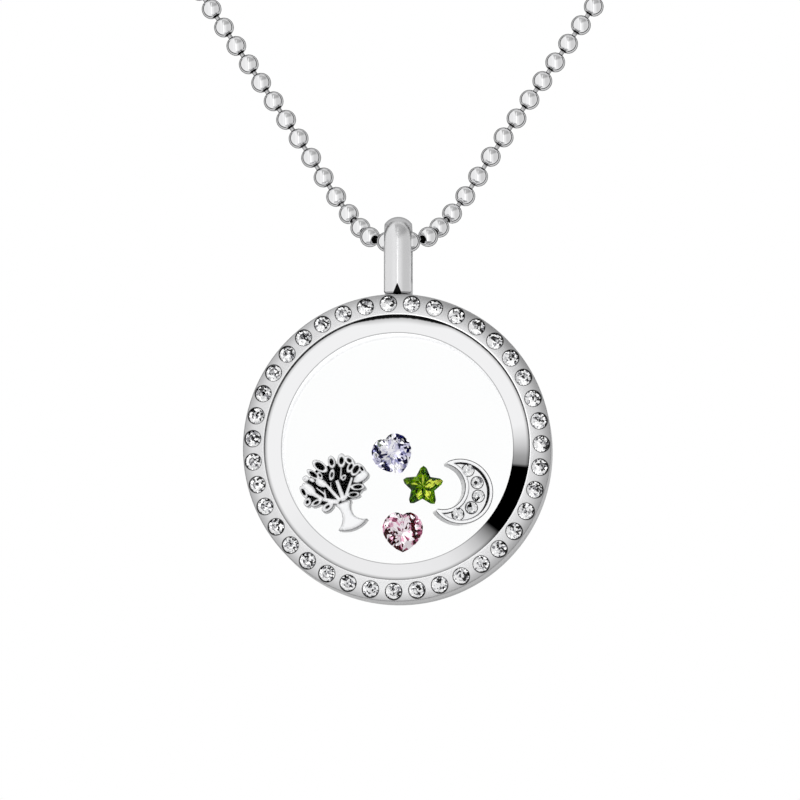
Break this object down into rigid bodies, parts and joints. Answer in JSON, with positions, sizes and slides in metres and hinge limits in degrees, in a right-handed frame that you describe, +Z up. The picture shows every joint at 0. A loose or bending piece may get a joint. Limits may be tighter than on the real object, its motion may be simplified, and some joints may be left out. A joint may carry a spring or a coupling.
{
  "type": "floating locket necklace",
  "caption": "Round glass floating locket with a stone-set screw bezel, small loose charms inside and a loop bail on a ball chain.",
  "frame": {"origin": "middle of the clasp at the nape of the neck, where the worn chain is held", "axes": "+Z up, -Y to the front of the wearer, +X to the right of the picture"},
  "size_m": [0.1212, 0.1174, 0.149],
  "materials": {
    "polished_steel": "polished stainless steel",
    "satin_steel": "satin face with a polished cone",
    "window_glass": "clear flat glass",
    "charm_silver": "polished silver-tone alloy, blackened in the recesses",
    "lavender_stone": "faceted cubic zirconia",
    "pink_stone": "faceted cubic zirconia",
    "green_stone": "faceted cubic zirconia",
    "clear_stone": "faceted clear crystal",
    "chain_steel": "polished stainless steel"
  },
  "bodies": {
    "root": {"chain_beads": "chain_steel", "chain_wire": "chain_steel", "clasp": "chain_steel"},
    "locket": {"case_back": "polished_steel", "back_glass": "window_glass", "tree_charm": "charm_silver", "heart_lavender": "lavender_stone", "heart_pink": "pink_stone", "star_green": "green_stone", "moon_charm": "charm_silver", "moon_stone_1": "clear_stone", "moon_stone_2": "clear_stone", "moon_stone_3": "clear_stone", "moon_stone_4": "clear_stone", "moon_stone_5": "clear_stone"},
    "front_window": {"front_glass": "window_glass"},
    "screw_bezel": {"bezel": "satin_steel", "bezel_stone_01": "clear_stone", "bezel_stone_02": "clear_stone", "bezel_stone_03": "clear_stone", "bezel_stone_04": "clear_stone", "bezel_stone_05": "clear_stone", "bezel_stone_06": "clear_stone", "bezel_stone_07": "clear_stone", "bezel_stone_08": "clear_stone", "bezel_stone_09": "clear_stone", "bezel_stone_10": "clear_stone", "bezel_stone_11": "clear_stone", "bezel_stone_12": "clear_stone", "bezel_stone_13": "clear_stone", "bezel_stone_14": "clear_stone", "bezel_stone_15": "clear_stone", "bezel_stone_16": "clear_stone", "bezel_stone_17": "clear_stone", "bezel_stone_18": "clear_stone", "bezel_stone_19": "clear_stone", "bezel_stone_20": "clear_stone", "bezel_stone_21": "clear_stone", "bezel_stone_22": "clear_stone", "bezel_stone_23": "clear_stone", "bezel_stone_24": "clear_stone", "bezel_stone_25": "clear_stone", "bezel_stone_26": "clear_stone", "bezel_stone_27": "clear_stone", "bezel_stone_28": "clear_stone", "bezel_stone_29": "clear_stone", "bezel_stone_30": "clear_stone", "bezel_stone_31": "clear_stone", "bezel_stone_32": "clear_stone", "bezel_stone_33": "clear_stone", "bezel_stone_34": "clear_stone", "bezel_stone_35": "clear_stone", "bezel_stone_36": "clear_stone", "bezel_stone_37": "clear_stone", "bezel_stone_38": "clear_stone", "bezel_stone_39": "clear_stone"}
  },
  "joints": [
    {"name": "pendant_swing", "type": "hinge", "parent": "root", "child": "locket", "pos_m": [0, -0.112, -0.112], "axis": [-1, 0, 0], "range_deg": [-45, 75]},
    {"name": "bezel_lift", "type": "slide", "parent": "locket", "child": "front_window", "axis": [0, -1, 0], "range_m": [0, 0.00115]},
    {"name": "bezel_twist", "type": "hinge", "parent": "front_window", "child": "screw_bezel", "pos_m": [0, -0.112, -0.1324], "axis": [0, -1, 0], "range_deg": [0, 540]}
  ],
  "couplings": [
    {"joint": "bezel_lift", "follows": "bezel_twist", "m_per_rad": 0.00011937}
  ]
}
